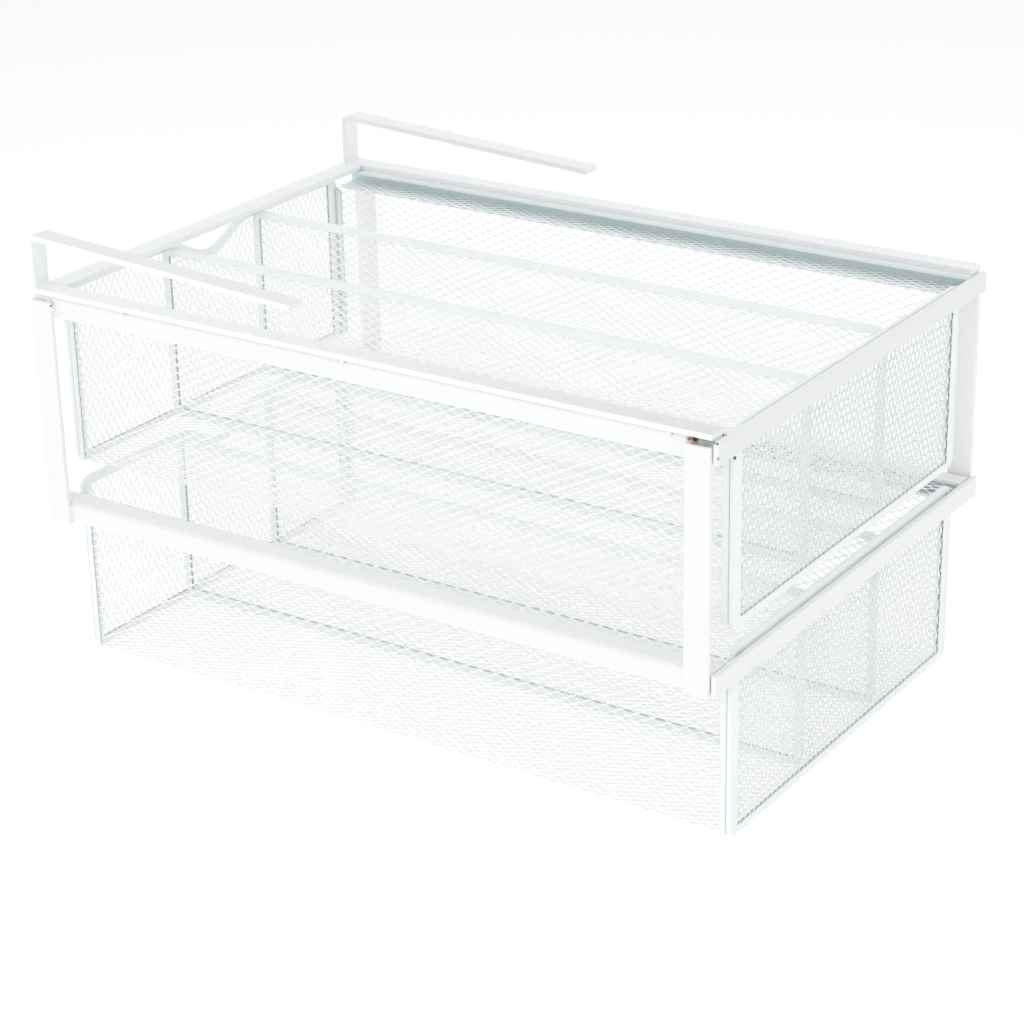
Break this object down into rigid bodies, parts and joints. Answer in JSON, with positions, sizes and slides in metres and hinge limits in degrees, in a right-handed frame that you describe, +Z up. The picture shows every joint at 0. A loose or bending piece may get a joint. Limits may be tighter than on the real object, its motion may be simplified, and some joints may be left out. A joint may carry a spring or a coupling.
{
  "type": "pull-out drawer basket",
  "caption": "Under-shelf hanging frame with pull-out wire-mesh drawer baskets on side rails, each with lengthwise dividers and a finger scoop.",
  "frame": {"origin": "middle of the base, on the surface that the lower basket stands on", "axes": "+Z up, +Y from the open front towards the rear bars, +X to the right seen from the front; baskets pull out along -Y"},
  "size_m": [0.2586, 0.373, 0.2237],
  "materials": {
    "frame_coat": "white powder coat on steel flat bar and channel, satin",
    "hem_coat": "white powder coat on folded sheet steel hems, satin",
    "mesh_coat": "white powder coat on expanded steel mesh, satin"
  },
  "bodies": {
    "frame": {"left_hook_bar": "frame_coat", "upper_left_rail": "frame_coat", "lower_left_rail": "frame_coat", "front_left_post": "frame_coat", "rear_left_post": "frame_coat", "right_hook_bar": "frame_coat", "upper_right_rail": "frame_coat", "lower_right_rail": "frame_coat", "front_right_post": "frame_coat", "rear_right_post": "frame_coat", "front_top_bar": "frame_coat", "rear_top_bar": "frame_coat", "rear_lower_bar": "frame_coat"},
    "upper_basket": {"upper_front_hem": "hem_coat", "upper_front_mesh": "mesh_coat", "upper_rear_hem": "hem_coat", "upper_rear_mesh": "mesh_coat", "upper_floor_mesh": "mesh_coat", "upper_left_side_mesh": "mesh_coat", "upper_left_front_side_hem": "hem_coat", "upper_left_rear_side_hem": "hem_coat", "upper_left_lip": "hem_coat", "upper_left_divider_hem": "hem_coat", "upper_left_divider_mesh": "mesh_coat", "upper_right_side_mesh": "mesh_coat", "upper_right_front_side_hem": "hem_coat", "upper_right_rear_side_hem": "hem_coat", "upper_right_lip": "hem_coat", "upper_right_divider_hem": "hem_coat", "upper_right_divider_mesh": "mesh_coat"},
    "lower_basket": {"lower_front_hem": "hem_coat", "lower_front_mesh": "mesh_coat", "lower_rear_hem": "hem_coat", "lower_rear_mesh": "mesh_coat", "lower_floor_mesh": "mesh_coat", "lower_left_side_mesh": "mesh_coat", "lower_left_front_side_hem": "hem_coat", "lower_left_rear_side_hem": "hem_coat", "lower_left_lip": "hem_coat", "lower_left_divider_hem": "hem_coat", "lower_left_divider_mesh": "mesh_coat", "lower_right_side_mesh": "mesh_coat", "lower_right_front_side_hem": "hem_coat", "lower_right_rear_side_hem": "hem_coat", "lower_right_lip": "hem_coat", "lower_right_divider_hem": "hem_coat", "lower_right_divider_mesh": "mesh_coat"}
  },
  "joints": [
    {"name": "upper_basket_slide", "type": "slide", "parent": "frame", "child": "upper_basket", "axis": [0, -1, 0], "range_m": [0, 0.28]},
    {"name": "lower_basket_slide", "type": "slide", "parent": "frame", "child": "lower_basket", "axis": [0, -1, 0], "range_m": [0, 0.28]}
  ]
}
